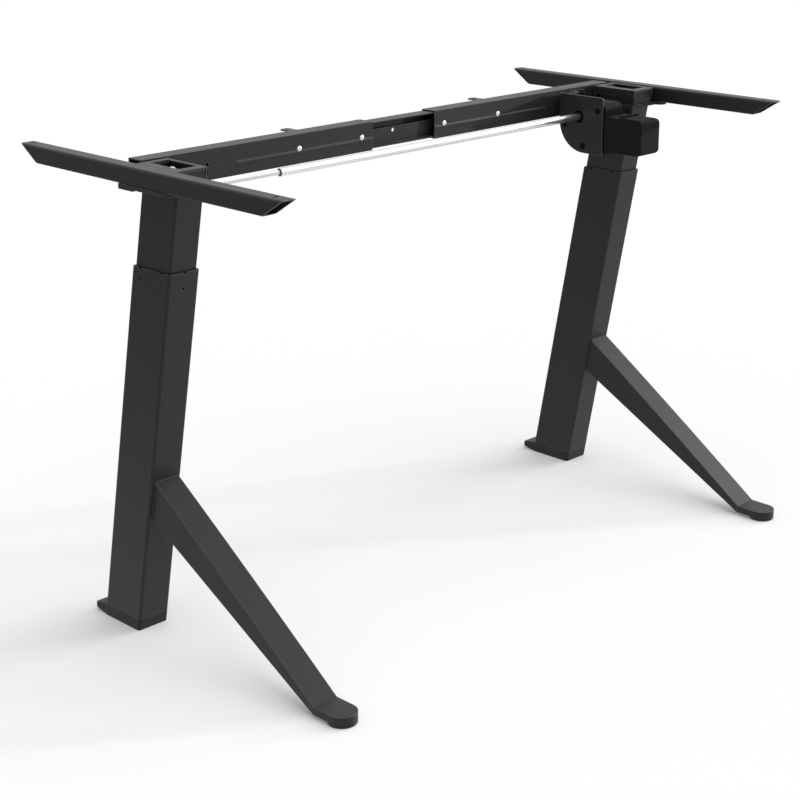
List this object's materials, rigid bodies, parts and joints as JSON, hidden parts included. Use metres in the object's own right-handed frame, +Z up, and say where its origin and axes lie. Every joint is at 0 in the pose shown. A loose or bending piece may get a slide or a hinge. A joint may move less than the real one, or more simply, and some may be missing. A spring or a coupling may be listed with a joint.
{
  "type": "standing desk frame",
  "caption": "Height-adjustable desk frame: two leaning telescopic columns with braced feet, a telescopic cross rail, side arms for the top and a motor turning both lift spindles.",
  "frame": {"origin": "on the floor, under the middle of the overall box", "axes": "+X to the right along the cross rail as seen from the toes, +Y to the rear, +Z up"},
  "size_m": [1.08, 0.6198, 0.6932],
  "materials": {
    "powder_coat": "fine matt powder coat",
    "black_plastic": "matt",
    "zinc_steel": "bright zinc",
    "brass": "turned",
    "gear_nylon": "moulded"
  },
  "bodies": {
    "left_leg": {"left_outer_column": "powder_coat", "left_brace": "powder_coat", "left_foot_cap": "black_plastic", "left_end_plate": "powder_coat", "left_nut_tube": "zinc_steel", "left_spindle_nut": "brass", "left_upper_liner": "black_plastic"},
    "left_foot": {"left_glide": "black_plastic"},
    "left_side": {"left_inner_column": "powder_coat", "left_lower_liner": "black_plastic", "left_gear_carrier": "black_plastic", "left_head_frame": "powder_coat", "left_base_plate": "powder_coat", "left_side_arm": "powder_coat", "left_outer_rail": "powder_coat", "left_rail_tab": "powder_coat", "left_rail_screws": "zinc_steel"},
    "left_lift_screw": {"left_spindle": "zinc_steel", "left_spindle_gear": "gear_nylon"},
    "right_leg": {"right_outer_column": "powder_coat", "right_brace": "powder_coat", "right_foot_cap": "black_plastic", "right_end_plate": "powder_coat", "right_nut_tube": "zinc_steel", "right_spindle_nut": "brass", "right_upper_liner": "black_plastic"},
    "right_foot": {"right_glide": "black_plastic"},
    "right_side": {"right_inner_column": "powder_coat", "right_lower_liner": "black_plastic", "right_gear_carrier": "black_plastic", "right_head_frame": "powder_coat", "right_base_plate": "powder_coat", "right_side_arm": "powder_coat", "right_outer_rail": "powder_coat", "right_rail_tab": "powder_coat", "right_rail_screws": "zinc_steel", "motor_plate": "powder_coat", "plate_screws": "zinc_steel", "shaft_bush": "black_plastic", "gearbox_housing": "black_plastic", "motor_body": "black_plastic", "motor_cover": "black_plastic"},
    "right_lift_screw": {"right_spindle": "zinc_steel", "right_spindle_gear": "gear_nylon"},
    "left_drive": {"drive_rod": "zinc_steel", "left_drive_gear": "gear_nylon"},
    "right_drive": {"drive_tube": "zinc_steel", "tube_bush": "black_plastic", "right_shaft": "zinc_steel", "worm_wheel": "gear_nylon", "right_drive_gear": "gear_nylon"},
    "mid_rail": {"inner_rail": "powder_coat"},
    "motor_worm": {"worm_shaft": "zinc_steel"}
  },
  "joints": [
    {"name": "lift_left", "type": "slide", "parent": "left_leg", "child": "left_side", "axis": [0, -0.1809, 0.9835], "range_m": [0, 0.42]},
    {"name": "width_left", "type": "slide", "parent": "left_side", "child": "mid_rail", "axis": [1, 0, 0], "range_m": [-0.05, 0.15]},
    {"name": "width_right", "type": "slide", "parent": "mid_rail", "child": "right_side", "axis": [1, 0, 0], "range_m": [-0.05, 0.15]},
    {"name": "lift_right", "type": "slide", "parent": "right_side", "child": "right_leg", "axis": [0, 0.1809, -0.9835], "range_m": [0, 0.42]},
    {"name": "left_screw_turn", "type": "hinge", "parent": "left_side", "child": "left_lift_screw", "pos_m": [-0.49085, 0.03057, 0.6557], "axis": [0, -0.1809, 0.9835], "continuous": true},
    {"name": "left_drive_turn", "type": "hinge", "parent": "left_side", "child": "left_drive", "pos_m": [-0.49085, 0.03057, 0.6557], "axis": [1, 0, 0], "continuous": true},
    {"name": "right_drive_turn", "type": "hinge", "parent": "right_side", "child": "right_drive", "pos_m": [0.47885, 0.03057, 0.6557], "axis": [1, 0, 0], "continuous": true},
    {"name": "right_screw_turn", "type": "hinge", "parent": "right_side", "child": "right_lift_screw", "pos_m": [0.47885, 0.03057, 0.6557], "axis": [0, -0.1809, 0.9835], "continuous": true},
    {"name": "worm_turn", "type": "hinge", "parent": "right_side", "child": "motor_worm", "pos_m": [0.3868, 0.03057, 0.6338], "axis": [0, 1, 0], "continuous": true},
    {"name": "left_glide_screw", "type": "slide", "parent": "left_leg", "child": "left_foot", "axis": [0, 0, -1], "range_m": [0, 0.008]},
    {"name": "right_glide_screw", "type": "slide", "parent": "right_leg", "child": "right_foot", "axis": [0, 0, -1], "range_m": [0, 0.008]}
  ],
  "couplings": [
    {"joint": "lift_right", "follows": "lift_left", "ratio": 1},
    {"joint": "left_screw_turn", "follows": "lift_left", "rad_per_m": 1047.2},
    {"joint": "left_drive_turn", "follows": "lift_left", "rad_per_m": 1047.2},
    {"joint": "right_drive_turn", "follows": "lift_left", "rad_per_m": 1047.2},
    {"joint": "right_screw_turn", "follows": "lift_left", "rad_per_m": 1047.2},
    {"joint": "worm_turn", "follows": "lift_left", "rad_per_m": -12566}
  ]
}
